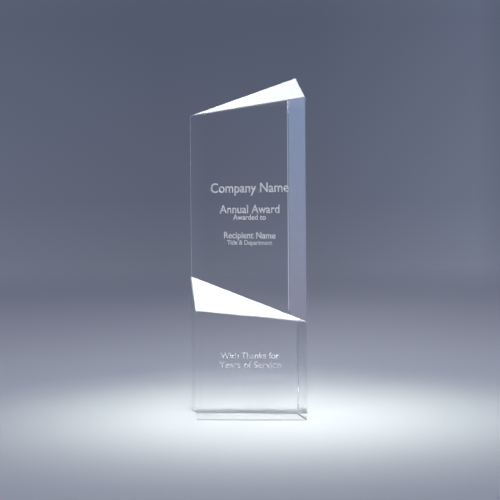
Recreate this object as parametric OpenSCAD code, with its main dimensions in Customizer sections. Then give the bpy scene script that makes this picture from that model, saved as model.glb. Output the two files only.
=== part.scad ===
// Two-tier crystal award: a tall and a short upright prism of clear optical crystal,
// bonded face to face along a diagonal joint, so that together they stand on a
// four-cornered footprint. Each prism has three corners in plan and a sloping top.
//
//   left rear ---------- right rear      The joint runs from left rear to right front.
//        | \    tall      |              The tall prism is behind it and the short
//        |    \           |              prism is in front of it.
//        | short  \       |
//   left front -------- right front
//
// Millimetres. +X runs to the right along the front face, +Y to the rear, +Z up.
// The origin is on the underside, at the centre of the footprint.

/* [Footprint] */
// Width of the front face, which the rear face repeats
front_w = 76; // [60:1:100]
// Depth from the front face to the rear face
depth = 41.5; // [30:0.5:60]
// How far the rear face is set to the left of the front face
rear_shift = 7; // [0:0.5:12]

/* [Tall prism] */
// Height of its left rear corner
tall_left_rear_h = 210; // [180:1:230]
// Height of its right rear corner, the highest point of the award
tall_right_rear_h = 236; // [220:1:260]
// Height of its right front corner, at the end of the joint
tall_right_front_h = 219; // [180:1:240]

/* [Short prism] */
// Height of its left rear corner, at the end of the joint
short_left_rear_h = 96.5; // [70:0.5:130]
// Height of its left front corner
short_left_front_h = 75.5; // [50:0.5:110]
// Height of its right front corner, at the end of the joint
short_right_front_h = 67.5; // [50:0.5:110]

/* [Edges and joint] */
// Flat width of the polished bevel on each outer edge
edge_bevel = 0.9; // [0.4:0.1:1.5]
// Flat width of the fine bevel on each edge that lies in the joint
joint_bevel = 0.3; // [0.1:0.1:0.5]
// Thickness of the clear adhesive film in the joint
film_t = 0.1; // [0.05:0.05:0.2]

/* [Hidden] */

// Corners of the footprint
half_w = front_w / 2;
half_shift = rear_shift / 2;
half_d = depth / 2;
left_front = [-half_w + half_shift, -half_d];
right_front = [half_w + half_shift, -half_d];
left_rear = [-half_w - half_shift, half_d];
right_rear = [half_w - half_shift, half_d];

// Height of the whole award before its edges are bevelled
full_h = max(tall_left_rear_h, tall_right_rear_h, tall_right_front_h);

// Size of the blocks that cut the faces, and the spare stock left around the footprint
cutter = 2 * full_h;
stock = 10;

// A corner of the footprint, raised to a height
function raised(corner, height) = [corner.x, corner.y, height];

// A face is [outward unit normal, distance from the origin along that normal].
// Three points that turn anticlockwise, seen from outside, give the face through them.
function face(a, b, c) =
    let (across = cross(b - a, c - a), normal = across / norm(across))
    [normal, normal * a];

// The upright face from one corner of a footprint to the next, anticlockwise
function upright(a, b) = face(raised(a, 0), raised(b, 0), raised(b, 1));

// A face moved outward by a distance
function moved(plane, distance) = [plane[0], plane[1] + distance];

// The same face, seen from its other side
function turned(plane) = [-plane[0], -plane[1]];

// The bevel of a given flat width along the edge where two faces meet.
// Its normal bisects theirs, and it lies half the flat width times the tangent of half
// the angle between them below the edge.
function bevel(p, q, flat_w) =
    let (sum = p[0] + q[0], turn = acos(p[0] * q[0]))
    [sum / norm(sum), (p[1] + q[1]) / norm(sum) - flat_w / 2 * tan(turn / 2)];

// Outer faces of the whole award
underside = [[0, 0, -1], 0];
front = upright(left_front, right_front);
right_side = upright(right_front, right_rear);
rear = upright(right_rear, left_rear);
left_side = upright(left_rear, left_front);

// The joint's middle plane, facing the front, and the two prisms' faces on either
// side of it, which the film keeps apart
joint = upright(left_rear, right_front);
tall_joint = moved(joint, -film_t / 2);
short_joint = moved(turned(joint), -film_t / 2);

// The sloping tops
tall_top = face(raised(left_rear, tall_left_rear_h),
    raised(right_front, tall_right_front_h),
    raised(right_rear, tall_right_rear_h));
short_top = face(raised(left_rear, short_left_rear_h),
    raised(left_front, short_left_front_h),
    raised(right_front, short_right_front_h));

// Upright corner bevels. The two at the joint's ends run flush across both prisms.
left_rear_bevel = bevel(rear, left_side, edge_bevel);
right_front_bevel = bevel(front, right_side, edge_bevel);
right_rear_bevel = bevel(right_side, rear, edge_bevel);
left_front_bevel = bevel(left_side, front, edge_bevel);

// Fine bevels of the short prism's edges that lie in the joint
short_top_joint_bevel = bevel(short_top, short_joint, joint_bevel);
short_foot_joint_bevel = bevel(underside, short_joint, joint_bevel);

// Everything outside a face, as a block that rests on it
module outside(plane) {
    normal = plane[0];
    translate(normal * plane[1])
        rotate([0, acos(normal.z), atan2(normal.y, normal.x)])
            translate([-cutter, -cutter, 0])
                cube([2 * cutter, 2 * cutter, cutter]);
}

// The solid that lies inside all of the faces
module solid_within(faces) {
    difference() {
        translate([left_rear.x - stock, left_front.y - stock, -stock])
            cube([front_w + rear_shift + 2 * stock, depth + 2 * stock, full_h + 2 * stock]);
        for (plane = faces)
            outside(plane);
    }
}

module tall_prism() {
    color("aliceblue", 0.45)
        solid_within([
            underside, right_side, rear, tall_joint, tall_top,
            left_rear_bevel, right_front_bevel, right_rear_bevel,
            bevel(tall_top, right_side, edge_bevel),
            bevel(tall_top, rear, edge_bevel),
            bevel(tall_top, tall_joint, edge_bevel),
            bevel(underside, right_side, edge_bevel),
            bevel(underside, rear, edge_bevel),
            bevel(underside, tall_joint, joint_bevel)
        ]);
}

module short_prism() {
    color("lightcyan", 0.45)
        solid_within([
            underside, left_side, front, short_joint, short_top,
            left_rear_bevel, right_front_bevel, left_front_bevel,
            bevel(short_top, left_side, edge_bevel),
            bevel(short_top, front, edge_bevel),
            short_top_joint_bevel,
            bevel(underside, left_side, edge_bevel),
            bevel(underside, front, edge_bevel),
            short_foot_joint_bevel
        ]);
}

// The adhesive fills the gap between the prisms, as far as the short prism's joint
// face reaches
module bond_film() {
    color("lavender", 0.6)
        solid_within([
            turned(tall_joint), turned(short_joint),
            left_rear_bevel, right_front_bevel,
            short_top_joint_bevel, short_foot_joint_bevel
        ]);
}

tall_prism();
short_prism();
bond_film();
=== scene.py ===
"""Finishes the two-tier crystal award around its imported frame.

The award is two upright prisms of clear optical crystal, bonded along a diagonal joint.
Each prism is rebuilt as the solid that lies within its packed faces, with its arrises
softened as polishing leaves them. Where the two prisms are bonded, their faces let light
straight through, as crystal and adhesive of one refractive index do. The lettering is a
thin frost on two of the upright faces.
"""

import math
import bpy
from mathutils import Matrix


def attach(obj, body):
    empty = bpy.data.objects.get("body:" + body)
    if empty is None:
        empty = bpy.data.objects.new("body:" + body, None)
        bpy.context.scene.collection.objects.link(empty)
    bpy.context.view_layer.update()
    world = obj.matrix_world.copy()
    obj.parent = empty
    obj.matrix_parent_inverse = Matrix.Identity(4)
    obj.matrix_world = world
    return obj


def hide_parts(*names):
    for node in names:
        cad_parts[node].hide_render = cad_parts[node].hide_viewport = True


bl_info = {
    "name": "Crystal Award",
    "version": (1, 0, 0),
    "blender": (4, 5, 0),
    "location": "3D View > Sidebar > Award",
    "description": "Builds the visible pieces, finishes and studio of a two-tier crystal award",
    "category": "Object",
}

from itertools import combinations

import bmesh
import bpy
import numpy as np
from bpy.props import FloatProperty, FloatVectorProperty, IntProperty, PointerProperty
from bpy.types import Operator, Panel, PropertyGroup
from mathutils import Matrix, Vector

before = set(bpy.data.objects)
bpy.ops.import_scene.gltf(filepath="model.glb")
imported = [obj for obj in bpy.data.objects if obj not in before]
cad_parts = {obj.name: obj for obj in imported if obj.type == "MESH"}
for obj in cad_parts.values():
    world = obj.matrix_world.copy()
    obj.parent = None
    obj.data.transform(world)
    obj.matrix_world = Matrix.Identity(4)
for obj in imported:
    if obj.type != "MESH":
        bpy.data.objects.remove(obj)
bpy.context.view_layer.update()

MM = 0.001


# ---------------------------------------------------------------- sizes and colours


class CrystalFinish(PropertyGroup):
    """The crystal, its polish and its edges."""

    ior: FloatProperty(
        name="Refractive index",
        description="Refractive index of the optical crystal",
        default=1.517,
        min=1.4,
        max=1.9,
    )
    tint: FloatVectorProperty(
        name="Tint",
        description="Colour that the polished faces let through",
        subtype="COLOR",
        size=3,
        default=(1.0, 1.0, 1.0),
        min=0.0,
        max=1.0,
    )
    wave_scale: FloatProperty(
        name="Waviness scale",
        description="Waves of the polish per metre",
        default=45.0,
        min=0.0,
    )
    wave_strength: FloatProperty(
        name="Waviness strength",
        description="How much of the polish's waviness shows",
        default=0.02,
        min=0.0,
        max=1.0,
    )
    wave_depth: FloatProperty(
        name="Waviness depth",
        description="Height of the polish's waves",
        default=0.01 * MM,
        min=0.0,
        unit="LENGTH",
    )
    rim_roughness: FloatProperty(
        name="Base rim roughness",
        description="Roughness of the fine ground bevels round the underside",
        default=0.35,
        min=0.0,
        max=1.0,
    )
    arris: FloatProperty(
        name="Arris width",
        description="Width of the soft edge that polishing leaves beside each bevel",
        default=0.08 * MM,
        min=0.0,
        unit="LENGTH",
    )


class EtchingLayout(PropertyGroup):
    """The sandblasted lettering."""

    lift: FloatProperty(
        name="Lift",
        description="How far the frosting stands off the polished face",
        default=0.02 * MM,
        unit="LENGTH",
    )
    upper_shift: FloatProperty(
        name="Upper shift",
        description="How far along its face the upper lettering stands to the right of the origin",
        default=2.0 * MM,
        unit="LENGTH",
    )
    lower_shift: FloatProperty(
        name="Lower shift",
        description="How far along its face the lower lettering stands to the right of the origin",
        default=2.5 * MM,
        unit="LENGTH",
    )
    frost: FloatVectorProperty(
        name="Frost",
        description="Colour of the sandblasted frost",
        subtype="COLOR",
        size=3,
        default=(0.9, 0.91, 0.94),
        min=0.0,
        max=1.0,
    )
    cover: FloatProperty(
        name="Cover",
        description="How much of the lettering the frost covers",
        default=0.75,
        min=0.0,
        max=0.9,
    )
    cover_change: FloatProperty(
        name="Cover change",
        description="How far the cover rises and falls from grain to grain",
        default=0.1,
        min=0.0,
        max=0.1,
    )
    glow: FloatProperty(
        name="Glow",
        description="Share of the frost that light from behind comes through",
        default=0.3,
        min=0.0,
        max=1.0,
    )
    grain: FloatProperty(
        name="Grain",
        description="Grains of the frost per metre",
        default=4000.0,
        min=0.0,
    )


class StudioSetup(PropertyGroup):
    """Camera, floor and backdrop."""

    camera_place: FloatVectorProperty(
        name="Camera place",
        description="Where the camera stands, in the award's frame",
        subtype="XYZ",
        unit="LENGTH",
        size=3,
        default=(0.0494, -0.890, 0.1458),
    )
    camera_turn: FloatVectorProperty(
        name="Camera turn",
        description="How far the camera looks down, to the left and leans over",
        subtype="EULER",
        size=3,
        default=(math.radians(1.953), math.radians(3.045), math.radians(-0.446)),
    )
    lens: FloatProperty(
        name="Lens",
        description="Focal length on a 36 mm wide sensor",
        default=92.6,
        min=20.0,
    )
    floor_radius: FloatProperty(
        name="Floor radius",
        description="Radius of the floor, at which it has faded into the backdrop",
        default=2.6,
        min=0.1,
        unit="LENGTH",
    )
    floor_height: FloatProperty(
        name="Floor height",
        description="How far the floor stands above the underside, so that crystal and floor touch",
        default=0.05 * MM,
        unit="LENGTH",
    )
    floor_colour: FloatVectorProperty(
        name="Floor colour",
        description="Colour of the floor",
        subtype="COLOR",
        size=3,
        default=(0.82, 0.83, 0.85),
        min=0.0,
        max=1.0,
    )
    backdrop_strength: FloatProperty(
        name="Backdrop strength",
        description="Brightness of the backdrop",
        default=2.0,
        min=0.0,
    )
    bounces: IntProperty(
        name="Bounces",
        description="Most times that light turns on its way through the crystal",
        default=32,
        min=1,
    )


# ------------------------------------------------------------------------ geometry

SLIVER = 1e-12  # square metres, below which a triangle has no sure direction
SAME_WAY = 0.99999  # cosine above which two triangles face the same way
SAME_PLANE = 3e-5  # metres within which two such triangles lie in one plane
MEETING = 1e-5  # determinant above which three faces meet in one point
ROUNDING = 1e-7  # metres by which a true corner may seem to lie outside a face
DECIMALS = 7  # decimals of a metre to which corners are told apart
ON_FACE = 1e-6  # metres within which a corner lies on a face
OPPOSED = -0.9999  # cosine below which two faces look at each other
TOUCHING = 5e-5  # metres within which two such faces touch

ARRIS_SEGMENTS = 2
ARRIS_ANGLE = math.radians(12)  # edges sharper than this are softened


def faces_of(node):
    """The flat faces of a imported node, as outward unit normals and their distances.

    Triangles that lie in one plane are taken together, and the larger count for more.
    """
    mesh = node.data
    mesh.calc_loop_triangles()
    places = np.empty(len(mesh.vertices) * 3, np.float32)
    mesh.vertices.foreach_get("co", places)
    corners = np.empty(len(mesh.loop_triangles) * 3, np.int32)
    mesh.loop_triangles.foreach_get("vertices", corners)
    a, b, c = places.astype(float).reshape(-1, 3)[corners.reshape(-1, 3)].transpose(1, 0, 2)
    across = np.cross(b - a, c - a)
    area = np.linalg.norm(across, axis=1)
    big = area > SLIVER
    across, area, a = across[big], area[big], a[big]
    normals = across / area[:, None]
    distances = (normals * a).sum(axis=1)
    near = abs(distances[:, None] - distances) < SAME_PLANE
    same = (normals @ normals.T > SAME_WAY) & near
    same = same[np.unique(same.argmax(axis=1))]
    normals = (same * area) @ normals
    normals /= np.linalg.norm(normals, axis=1)[:, None]
    distances = (same * area) @ distances / (same * area).sum(axis=1)
    return normals, distances


def solid_within(normals, distances):
    """The convex solid inside a set of faces, as points and polygons.

    A corner is where three faces meet, kept where no other face cuts it off. A face's
    outline is its corners in order of the angle at which they stand round their middle.
    """
    trios = np.array(list(combinations(range(len(normals)), 3)))
    trios = trios[abs(np.linalg.det(normals[trios])) > MEETING]
    points = np.linalg.solve(normals[trios], distances[trios][..., None])[..., 0]
    points = points[(points @ normals.T <= distances + ROUNDING).all(axis=1)]
    points = np.unique(np.round(points, DECIMALS), axis=0)
    outlines = []
    for normal, distance in zip(normals, distances):
        on_face = np.flatnonzero(abs(points @ normal - distance) < ON_FACE)
        spokes = points[on_face] - points[on_face].mean(axis=0)
        first = spokes[0] / np.linalg.norm(spokes[0])
        turn = np.arctan2(spokes @ np.cross(normal, first), spokes @ first)
        outlines.append(on_face[np.argsort(turn)].tolist())
    return points, outlines


def new_piece(name, points, outlines, materials):
    """A mesh object with these points and polygons, linked to the scene."""
    mesh = bpy.data.meshes.new(name)
    mesh.from_pydata(points.tolist(), [], outlines)
    mesh.validate()
    for material in materials:
        mesh.materials.append(material)
    piece = bpy.data.objects.new(name, mesh)
    bpy.context.scene.collection.objects.link(piece)
    return piece


def joint_of(node, film):
    """The normal and distance of the face that a prism shares with the film."""
    normals, distances = faces_of(node)
    film_normals, film_distances = faces_of(film)
    opposed = normals @ film_normals.T < OPPOSED
    touching = abs(distances[:, None] + film_distances) < TOUCHING
    index = int(np.flatnonzero((opposed & touching).any(axis=1))[0])
    return normals[index], distances[index]


def soften(piece, width):
    """Rounds each arris over a small width, and keeps the flats flat."""
    piece.data.shade_smooth()
    edge = piece.modifiers.new("arris", "BEVEL")
    edge.width = width
    edge.segments = ARRIS_SEGMENTS
    edge.limit_method = "ANGLE"
    edge.angle_limit = ARRIS_ANGLE
    edge.harden_normals = True


# ----------------------------------------------------------------------- materials

WAVE_DETAIL = 2.0
GRAIN_DETAIL = 3.0
NOISE_RANGE = (0.35, 0.65)  # a noise texture's values lie mostly between these


def fresh_material(name):
    """An empty node material, its node tree and its output node."""
    material = bpy.data.materials.new(name)
    material.use_nodes = True
    material.node_tree.nodes.clear()
    return material, material.node_tree, material.node_tree.nodes.new("ShaderNodeOutputMaterial")


def noise_at(tree, scale, detail):
    """A noise texture on Object coordinates, as its value's socket."""
    where = tree.nodes.new("ShaderNodeTexCoord")
    noise = tree.nodes.new("ShaderNodeTexNoise")
    noise.inputs["Scale"].default_value = scale
    noise.inputs["Detail"].default_value = detail
    tree.links.new(where.outputs["Object"], noise.inputs["Vector"])
    return noise.outputs["Fac"]


def mix_shaders(tree, factor, first, second):
    """A shader mix node's output; the factor may be a socket or a value."""
    mix = tree.nodes.new("ShaderNodeMixShader")
    if isinstance(factor, bpy.types.NodeSocket):
        tree.links.new(factor, mix.inputs["Fac"])
    else:
        mix.inputs["Fac"].default_value = factor
    tree.links.new(first, mix.inputs[1])
    tree.links.new(second, mix.inputs[2])
    return mix.outputs[0]


def waviness(tree, finish):
    """A very faint, slow unevenness of a surface, as a normal socket."""
    bump = tree.nodes.new("ShaderNodeBump")
    bump.inputs["Strength"].default_value = finish.wave_strength
    bump.inputs["Distance"].default_value = finish.wave_depth
    tree.links.new(noise_at(tree, finish.wave_scale, WAVE_DETAIL), bump.inputs["Height"])
    return bump.outputs["Normal"]


def crystal_material(finish, name, roughness=0.0, lets_lamps_through=False):
    """Optical crystal with the faint waviness of hand polishing.

    Where it lets lamps through, its shadow rays pass straight on, unbent, so that the
    lamps light the floor under the award.
    """
    material, tree, output = fresh_material(name)
    glass = tree.nodes.new("ShaderNodeBsdfPrincipled")
    glass.inputs["Base Color"].default_value = (*finish.tint, 1.0)
    glass.inputs["Roughness"].default_value = roughness
    glass.inputs["IOR"].default_value = finish.ior
    glass.inputs["Transmission Weight"].default_value = 1.0
    tree.links.new(waviness(tree, finish), glass.inputs["Normal"])
    surface = glass.outputs[0]
    if lets_lamps_through:
        clear = tree.nodes.new("ShaderNodeBsdfTransparent")
        path = tree.nodes.new("ShaderNodeLightPath")
        surface = mix_shaders(tree, path.outputs["Is Shadow Ray"], surface, clear.outputs[0])
    tree.links.new(surface, output.inputs["Surface"])
    return material


def joint_material():
    """A bonded face, which light crosses without bending."""
    material, tree, output = fresh_material("bonded_joint")
    clear = tree.nodes.new("ShaderNodeBsdfTransparent")
    clear.inputs["Color"].default_value = (1.0, 1.0, 1.0, 1.0)
    tree.links.new(clear.outputs[0], output.inputs["Surface"])
    return material


def etched_material(layout):
    """Sandblasted crystal: a fine white frost, a little thinner between its grains."""
    material, tree, output = fresh_material("etched_frost")
    cover = tree.nodes.new("ShaderNodeMapRange")
    cover.inputs["From Min"].default_value, cover.inputs["From Max"].default_value = NOISE_RANGE
    cover.inputs["To Min"].default_value = layout.cover - layout.cover_change
    cover.inputs["To Max"].default_value = layout.cover + layout.cover_change
    tree.links.new(noise_at(tree, layout.grain, GRAIN_DETAIL), cover.inputs["Value"])
    frost = tree.nodes.new("ShaderNodeBsdfDiffuse")
    frost.inputs["Color"].default_value = (*layout.frost, 1.0)
    glow = tree.nodes.new("ShaderNodeBsdfTranslucent")
    glow.inputs["Color"].default_value = (*layout.frost, 1.0)
    body = mix_shaders(tree, layout.glow, frost.outputs[0], glow.outputs[0])
    clear = tree.nodes.new("ShaderNodeBsdfTransparent")
    surface = mix_shaders(tree, cover.outputs[0], clear.outputs[0], body)
    tree.links.new(surface, output.inputs["Surface"])
    return material


# ------------------------------------------------------------------------- prisms

POLISHED, BONDED, BACK, RIM = range(4)  # the places of a prism's materials
ALONG_JOINT = 0.9999  # cosine to the joint's normal above which a face is the joint
TOWARDS_JOINT = 0.3  # and above which a face looks to the joint's side
DOWNWARD = -0.3  # upward part of the normal below which a face looks down
FLAT_DOWN = -0.9  # and below which it is the underside itself
REARWARD = 0.5  # rearward part of the normal above which a face is a back one


def finish_of(face, joint_normal, brow, brow_normal):
    """The place of a prism face's material, from where the face lies and looks."""
    on_joint = face.normal.dot(joint_normal) > ALONG_JOINT
    below_brow = (face.calc_center_median() - brow).dot(brow_normal) < 0
    if on_joint and below_brow:
        return BONDED
    if FLAT_DOWN < face.normal.z < DOWNWARD:
        return RIM
    if face.normal.y > REARWARD:
        return BACK
    return POLISHED


def build_prism(name, node_name, finish):
    """One prism, its bonded area marked and its arrises softened.

    The bevel between the joint and the underside is left out, so the two prisms meet
    there without a groove. The joint face is cut along the film's top edge, its brow,
    and is bonded below it.
    """
    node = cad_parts[node_name]
    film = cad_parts["bond_film"]
    joint_normal, _ = joint_of(node, film)
    normals, distances = faces_of(node)
    kept = ~((normals @ joint_normal > TOWARDS_JOINT) & (normals[:, 2] < DOWNWARD))
    points, outlines = solid_within(normals[kept], distances[kept])
    materials = [
        crystal_material(finish, "crystal", lets_lamps_through=True),
        joint_material(),
        crystal_material(finish, "crystal_back"),
        crystal_material(finish, "crystal_rim", finish.rim_roughness, lets_lamps_through=True),
    ]
    piece = new_piece(name, points, outlines, materials)
    film_normals, film_distances = faces_of(film)
    top = film_normals[:, 2].argmax()
    brow_normal = Vector(film_normals[top])
    brow = brow_normal * film_distances[top]
    mesh = bmesh.new()
    mesh.from_mesh(piece.data)
    bmesh.ops.bisect_plane(
        mesh,
        geom=[*mesh.verts, *mesh.edges, *mesh.faces],
        dist=ROUNDING,
        plane_co=brow,
        plane_no=brow_normal,
    )
    for face in mesh.faces:
        face.material_index = finish_of(face, Vector(joint_normal), brow, brow_normal)
    mesh.to_mesh(piece.data)
    mesh.free()
    soften(piece, finish.arris)
    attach(piece, "root")
    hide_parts(node_name)


class AWARD_OT_tall_prism(Operator):
    """Builds the tall rear prism"""

    bl_idname = "award.tall_prism"
    bl_label = "Tall prism"

    def execute(self, context):
        build_prism("tall_crystal", "tall_prism", context.scene.award_crystal)
        return {"FINISHED"}


class AWARD_OT_short_prism(Operator):
    """Builds the short front prism"""

    bl_idname = "award.short_prism"
    bl_label = "Short prism"

    def execute(self, context):
        build_prism("short_crystal", "short_prism", context.scene.award_crystal)
        return {"FINISHED"}


class AWARD_OT_bond_film(Operator):
    """Builds the adhesive film in the joint"""

    bl_idname = "award.bond_film"
    bl_label = "Bond film"

    def execute(self, context):
        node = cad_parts["bond_film"]
        points, outlines = solid_within(*faces_of(node))
        piece = new_piece("adhesive_film", points, outlines, [joint_material()])
        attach(piece, "root")
        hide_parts("bond_film")
        return {"FINISHED"}


# ----------------------------------------------------------------------- lettering

# Each line's words, the height of its base and its width in millimetres, and how far
# its strokes are thickened, as a share of the size of the type.
LINES_UPPER = (
    ("Company Name", 155.4, 62.0, 0.014),
    ("Annual Award", 141.0, 47.5, 0.012),
    ("Awarded to", 136.4, 26.0, 0.012),
    ("Recipient Name", 123.5, 41.0, 0.012),
    ("Title & Department", 119.1, 36.0, 0.012),
)
LINES_LOWER = (
    ("With Thanks for", 42.4, 40.0, 0.012),
    ("Years of Service", 36.0, 42.0, 0.012),
)
UP = np.array([0, 0, 1])


def flat_text(name, words, bold):
    """A line of text as a flat mesh on the XY plane."""
    curve = bpy.data.curves.new(name, "FONT")
    curve.body = words
    curve.align_x = "CENTER"
    curve.offset = bold
    text = bpy.data.objects.new(name, curve)
    bpy.context.scene.collection.objects.link(text)
    bpy.context.view_layer.update()
    mesh = bpy.data.meshes.new_from_object(text)
    bpy.data.objects.remove(text)
    return mesh


def lettering(name, lines, normal, middle, layout):
    """Lines of frosted lettering on an upright face.

    A point of a line goes to the face's middle, plus its X along the face and its Y up
    it, with the line scaled to its width and raised to its base.
    """
    along = np.cross(UP, normal)
    joined = bmesh.new()
    for words, base, width, bold in lines:
        mesh = flat_text(name, words, bold)
        flat = np.empty(len(mesh.vertices) * 3, np.float32)
        mesh.vertices.foreach_get("co", flat)
        flat = flat.reshape(-1, 3)
        left, right = flat[:, 0].min(), flat[:, 0].max()
        flat = (flat - [np.mean([left, right]), 0, 0]) * (width * MM / (right - left))
        placed = middle + flat[:, :1] * along + (flat[:, 1:2] + base * MM) * UP
        placed = placed + layout.lift * np.array(normal)
        mesh.vertices.foreach_set("co", placed.astype(np.float32).ravel())
        joined.from_mesh(mesh)
    whole = bpy.data.meshes.new(name)
    joined.to_mesh(whole)
    joined.free()
    whole.materials.append(etched_material(layout))
    piece = bpy.data.objects.new(name, whole)
    bpy.context.scene.collection.objects.link(piece)
    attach(piece, "root")


class AWARD_OT_etching(Operator):
    """Etches the lettering into the two upright faces"""

    bl_idname = "award.etching"
    bl_label = "Etching"

    def execute(self, context):
        layout = context.scene.award_etching
        normal, distance = joint_of(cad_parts["tall_prism"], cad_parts["bond_film"])
        middle = normal * distance + np.cross(UP, normal) * layout.upper_shift
        lettering("upper_etching", LINES_UPPER, normal, middle, layout)
        normals, distances = faces_of(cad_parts["short_prism"])
        front = normals[:, 1].argmin()
        normal = normals[front]
        middle = normal * distances[front] + np.cross(UP, normal) * layout.lower_shift
        lettering("lower_etching", LINES_LOWER, normal, middle, layout)
        return {"FINISHED"}


# -------------------------------------------------------------------------- studio

# The backdrop's colour by how far up a direction points, as the upward part of it.
SKY = (
    (-0.2, (0.24, 0.255, 0.32)),
    (-0.065, (0.16, 0.17, 0.23)),
    (-0.04, (0.13, 0.147, 0.197)),
    (0.005, (0.108, 0.123, 0.173)),
    (0.14, (0.085, 0.1, 0.15)),
    (0.5, (0.14, 0.158, 0.212)),
)
# The share of that colour by how far to the right a direction points.
SIDEWAYS = (
    (-0.24, (0.56, 0.56, 0.56)),
    (-0.12, (0.5, 0.5, 0.5)),
    (0.0, (0.52, 0.52, 0.52)),
    (0.12, (0.67, 0.67, 0.67)),
    (0.17, (0.5, 0.5, 0.5)),
    (0.24, (0.56, 0.56, 0.56)),
)

FLOOR_SIDES = 96
FLOOR_INNER = 0.3  # share of the floor's radius out to which it is solid
FLOOR_GONE = 0.98  # share of it at which the floor has faded out
CLIP_START = 0.01
NO_DIFFUSE_BOUNCE = 0.5  # a ray's count of diffuse bounces is 0 below this, and 1 or more above

# Glowing panels overhead: the middle, the two spans in metres, and the glow.
OVERHEAD = (
    dict(
        name="softbox_top",
        middle=(-0.15, 0.6, 0.75),
        across=(0.7, 0, 0),
        up=(0, -0.36, 0.26),
        low=(3.7, 3.75, 3.8),
    ),
    dict(
        name="softbox_high",
        middle=(0.33, 0.36, 0.98),
        across=(0.5, 0, 0),
        up=(0, -0.3, 0.1),
        low=(7.5, 7.5, 7.5),
    ),
    dict(
        name="softbox_over",
        middle=(-0.25, -0.35, 1.0),
        across=(0.6, 0, 0),
        up=(0, 0.5, 0),
        low=(9, 9, 9),
    ),
)
# Glowing panels behind: the turn and width in degrees, the glow and the foot's height.
UPRIGHT = (
    dict(
        name="softbox_left",
        turn=8.0,
        width=5.0,
        low=(0.5, 0.54, 0.64),
        high=(0.2, 0.26, 0.38),
        base=0.025,
    ),
    dict(
        name="softbox_far_left",
        turn=43.0,
        width=10.0,
        low=(0.25, 0.255, 0.34),
        high=(0.222, 0.296, 0.465),
    ),
    dict(name="softbox_right", turn=-30.0, width=24.0, low=(1.7, 1.75, 1.85)),
)
# Lamps: each beam reaches a radius of beam at a distance of throw, both in metres.
LAMPS = (
    dict(
        name="pool",
        place=(0.02, -0.12, 1.5),
        aim=(0.02, -0.005, 0),
        size=(0.2, 0.19),
        watts=0.172,
        colour=(0.965, 1.0, 0.92),
        beam=0.21,
        throw=1.5,
        shape="ELLIPSE",
    ),
    dict(
        name="wash",
        place=(0.04, 0.15, 3.0),
        aim=(0.04, 0.15, 0),
        size=(0.6, 0.6),
        watts=1.05,
        colour=(0.90, 0.85, 1.0),
        beam=1.3,
        throw=3.0,
    ),
    dict(
        name="halo",
        place=(0.02, 0.08, 2.0),
        aim=(0.02, 0.08, 0),
        size=(0.3, 0.3),
        watts=0.12,
        colour=(0.7, 1.0, 0.97),
        beam=0.6,
        throw=2.0,
    ),
    dict(
        name="fill",
        place=(-0.2, -1.7, 0.3),
        aim=(0, 0, 0.12),
        size=(0.3, 0.3),
        watts=0.11,
        colour=(1.0, 1.0, 1.0),
        beam=0.18,
        throw=1.7,
        casts_shadow=False,
    ),
    dict(
        name="gleam",
        place=(0, 0.22, 1.5),
        aim=(0, 0.22, 0),
        size=(0.05, 0.05),
        watts=0.003,
        colour=(1.0, 1.0, 1.0),
        beam=0.1,
        throw=1.5,
    ),
)


def ramp_node(tree, value, stops):
    """A colour ramp over a value, from stops of (value, linear colour) in rising order."""
    low, high = stops[0][0], stops[-1][0]
    span = tree.nodes.new("ShaderNodeMapRange")
    span.inputs["From Min"].default_value = low
    span.inputs["From Max"].default_value = high
    ramp = tree.nodes.new("ShaderNodeValToRGB")
    elements = ramp.color_ramp.elements
    while len(elements) < len(stops):
        elements.new(0.5)
    for element, (where, colour) in zip(elements, stops):
        element.position = (where - low) / (high - low)
        element.color = (*colour, 1.0)
    tree.links.new(value, span.inputs["Value"])
    tree.links.new(span.outputs[0], ramp.inputs["Fac"])
    return ramp.outputs["Color"]


def mix_colours(tree, kind, factor, first, second):
    """A colour mix node's output; the factor and colours may be sockets or values."""
    mix = tree.nodes.new("ShaderNodeMix")
    mix.data_type = "RGBA"
    mix.blend_type = kind
    for name, value in (("Factor", factor), ("A", first), ("B", second)):
        if isinstance(value, bpy.types.NodeSocket):
            tree.links.new(value, mix.inputs[name])
        else:
            mix.inputs[name].default_value = value
    return mix.outputs["Result"]


def world_light(scene, strength):
    """A dark blue-grey studio that pales towards the floor and a little to the right."""
    world = bpy.data.worlds.new("studio")
    scene.world = world
    world.use_nodes = True
    tree = world.node_tree
    tree.nodes.clear()
    output = tree.nodes.new("ShaderNodeOutputWorld")
    back = tree.nodes.new("ShaderNodeBackground")
    where = tree.nodes.new("ShaderNodeTexCoord")
    split = tree.nodes.new("ShaderNodeSeparateXYZ")
    tree.links.new(where.outputs["Generated"], split.inputs[0])
    rise = ramp_node(tree, split.outputs["Z"], SKY)
    sway = ramp_node(tree, split.outputs["X"], SIDEWAYS)
    shade = mix_colours(tree, "MULTIPLY", 1.0, rise, sway)
    tree.links.new(shade, back.inputs["Color"])
    back.inputs["Strength"].default_value = strength
    tree.links.new(back.outputs[0], output.inputs["Surface"])


def floor_material(radius, colour):
    """A pale matt floor that fades out from its inner radius to its rim."""
    material, tree, output = fresh_material("floor")
    pale = tree.nodes.new("ShaderNodeBsdfDiffuse")
    pale.inputs["Color"].default_value = (*colour, 1.0)
    clear = tree.nodes.new("ShaderNodeBsdfTransparent")
    where = tree.nodes.new("ShaderNodeTexCoord")
    length = tree.nodes.new("ShaderNodeVectorMath")
    length.operation = "LENGTH"
    fade = tree.nodes.new("ShaderNodeMapRange")
    fade.interpolation_type = "SMOOTHSTEP"
    fade.inputs["From Min"].default_value = FLOOR_INNER * radius
    fade.inputs["From Max"].default_value = FLOOR_GONE * radius
    tree.links.new(where.outputs["Object"], length.inputs[0])
    tree.links.new(length.outputs["Value"], fade.inputs["Value"])
    surface = mix_shaders(tree, fade.outputs[0], pale.outputs[0], clear.outputs[0])
    tree.links.new(surface, output.inputs["Surface"])
    return material


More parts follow.
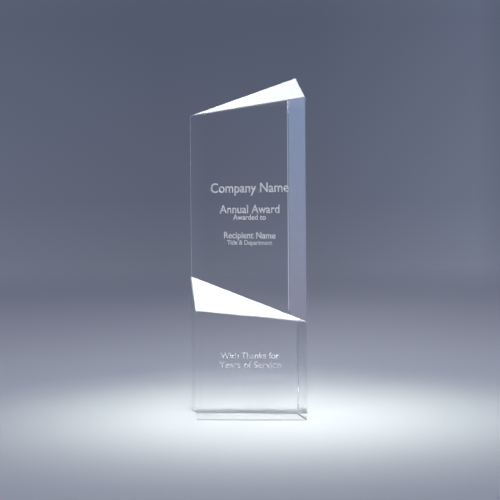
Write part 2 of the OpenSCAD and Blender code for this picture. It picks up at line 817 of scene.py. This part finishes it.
def build_floor(radius, height, colour):
    """A level disc: an inner polygon and a ring round it, both of points on a circle."""
    turn = np.linspace(0, 2 * np.pi, FLOOR_SIDES, endpoint=False)
    circle = np.column_stack([np.cos(turn), np.sin(turn), np.zeros(FLOOR_SIDES)])
    points = np.concatenate([FLOOR_INNER * radius * circle, radius * circle])
    points[:, 2] = height
    here = np.arange(FLOOR_SIDES)
    onward = np.roll(here, -1)
    ring = np.stack([here, here + FLOOR_SIDES, onward + FLOOR_SIDES, onward], axis=1)
    outlines = [here.tolist(), *ring.tolist()]
    floor = new_piece("floor", points, outlines, [floor_material(radius, colour)])


def area_lamp(name, place, aim, size, watts, colour, beam, throw, shape="DISK", casts_shadow=True):
    """A lamp at a place, turned to an aim point, that isn't seen itself.

    Its spread is twice the angle whose tangent is beam over throw.
    """
    lamp = bpy.data.lights.new(name, "AREA")
    lamp.shape = shape
    lamp.size, lamp.size_y = size
    lamp.energy = watts
    lamp.color = colour
    lamp.spread = 2 * math.atan(beam / throw)
    lamp.use_shadow = casts_shadow
    light = bpy.data.objects.new(name, lamp)
    light.location = place
    light.rotation_euler = (Vector(aim) - Vector(place)).to_track_quat("-Z", "Y").to_euler()
    light.visible_camera = light.visible_glossy = light.visible_transmission = False
    bpy.context.scene.collection.objects.link(light)


def glow_material(name, middle, up, low, high):
    """A glow that runs from low to high along the up span, for rays with no diffuse bounce."""
    material, tree, output = fresh_material(name)
    glow = tree.nodes.new("ShaderNodeEmission")
    where = tree.nodes.new("ShaderNodeTexCoord")
    along = tree.nodes.new("ShaderNodeVectorMath")
    along.operation = "DOT_PRODUCT"
    along.inputs[1].default_value = up / (up @ up)
    rise = tree.nodes.new("ShaderNodeMapRange")
    rise.inputs["From Min"].default_value = middle @ up / (up @ up) - 0.5
    rise.inputs["From Max"].default_value = middle @ up / (up @ up) + 0.5
    tree.links.new(where.outputs["Object"], along.inputs[0])
    tree.links.new(along.outputs["Value"], rise.inputs["Value"])
    shade = mix_colours(tree, "MIX", rise.outputs[0], (*low, 1.0), (*high, 1.0))
    tree.links.new(shade, glow.inputs["Color"])
    path = tree.nodes.new("ShaderNodeLightPath")
    shown = tree.nodes.new("ShaderNodeMath")
    shown.operation = "LESS_THAN"
    shown.inputs[1].default_value = NO_DIFFUSE_BOUNCE
    tree.links.new(path.outputs["Diffuse Depth"], shown.inputs[0])
    tree.links.new(shown.outputs[0], glow.inputs["Strength"])
    tree.links.new(glow.outputs[0], output.inputs["Surface"])
    material.cycles.emission_sampling = "NONE"
    return material


def softbox(name, middle, across, up, low, high=None):
    """A glowing flat panel that only the crystal's faces see, and that lights nothing else.

    Its corners are its middle plus or minus half of each of its two spans. Its glow runs
    evenly from the low colour to the high one, or is the low one all over.
    """
    middle, across, up = (np.array(part, dtype=float) for part in (middle, across, up))
    sides = np.array([(-1, -1), (1, -1), (1, 1), (-1, 1)])
    points = middle + sides @ np.stack([across, up]) / 2
    glow = glow_material(name, middle, up, low, high or low)
    panel = new_piece(name, points, [[0, 1, 2, 3]], [glow])
    panel.visible_camera = panel.visible_diffuse = panel.visible_shadow = False


def upright_softbox(name, turn, width, low, high=None, base=0.0, distance=0.6, height=0.3):
    """An upright softbox behind the award, turned to the left of straight back."""
    turn, half = math.radians(turn), math.radians(width) / 2
    middle = (-math.sin(turn) * distance, math.cos(turn) * distance, base + height / 2)
    span = 2 * distance * math.tan(half)
    across = (math.cos(turn) * span, math.sin(turn) * span, 0)
    softbox(name, middle, across, (0, 0, height), low, high)


def place_camera(scene, setup):
    """A camera at its place, turned left, then tipped down, then leant over."""
    camera = bpy.data.objects.new("camera", bpy.data.cameras.new("camera"))
    scene.collection.objects.link(camera)
    scene.camera = camera
    down, left, lean = setup.camera_turn
    camera.matrix_world = (
        Matrix.Translation(setup.camera_place)
        @ Matrix.Rotation(left, 4, "Z")
        @ Matrix.Rotation(math.pi / 2 - down, 4, "X")
        @ Matrix.Rotation(lean, 4, "Z")
    )
    camera.data.lens = setup.lens
    camera.data.clip_start = CLIP_START


class AWARD_OT_studio(Operator):
    """Sets the camera, the floor and the lights"""

    bl_idname = "award.studio"
    bl_label = "Studio"

    def execute(self, context):
        scene = context.scene
        setup = scene.award_studio
        place_camera(scene, setup)
        scene.view_settings.view_transform = "Standard"
        scene.cycles.max_bounces = scene.cycles.transmission_bounces = setup.bounces
        scene.cycles.glossy_bounces = scene.cycles.transparent_max_bounces = setup.bounces
        scene.cycles.sample_clamp_indirect = 0.0
        world_light(scene, setup.backdrop_strength)
        build_floor(setup.floor_radius, setup.floor_height, setup.floor_colour)
        for panel in OVERHEAD:
            softbox(**panel)
        for panel in UPRIGHT:
            upright_softbox(**panel)
        for lamp in LAMPS:
            area_lamp(**lamp)
        return {"FINISHED"}


# -------------------------------------------------------------------------- add-on

STEPS = (
    AWARD_OT_studio,
    AWARD_OT_tall_prism,
    AWARD_OT_short_prism,
    AWARD_OT_bond_film,
    AWARD_OT_etching,
)
GROUPS = {
    "award_crystal": CrystalFinish,
    "award_etching": EtchingLayout,
    "award_studio": StudioSetup,
}


class AWARD_PT_panel(Panel):
    """Lists the award's sizes, colours and steps"""

    bl_label = "Crystal Award"
    bl_idname = "AWARD_PT_panel"
    bl_space_type = "VIEW_3D"
    bl_region_type = "UI"
    bl_category = "Award"

    def draw(self, context):
        layout = self.layout
        for name, kind in GROUPS.items():
            box = layout.box()
            for value in kind.__annotations__:
                box.prop(getattr(context.scene, name), value)
        for step in STEPS:
            layout.operator(step.bl_idname)


def register():
    """Registers the classes and hangs each property group on the scene."""
    for kind in (*GROUPS.values(), *STEPS, AWARD_PT_panel):
        bpy.utils.register_class(kind)
    for name, kind in GROUPS.items():
        setattr(bpy.types.Scene, name, PointerProperty(type=kind))


def unregister():
    """Undoes what register did."""
    for name in GROUPS:
        delattr(bpy.types.Scene, name)
    for kind in (AWARD_PT_panel, *STEPS, *GROUPS.values()):
        bpy.utils.unregister_class(kind)


def main():
    """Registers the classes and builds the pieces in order."""
    register()
    bpy.ops.award.studio()
    bpy.ops.award.tall_prism()
    bpy.ops.award.short_prism()
    bpy.ops.award.bond_film()
    bpy.ops.award.etching()


if __name__ == "__main__":
    main()
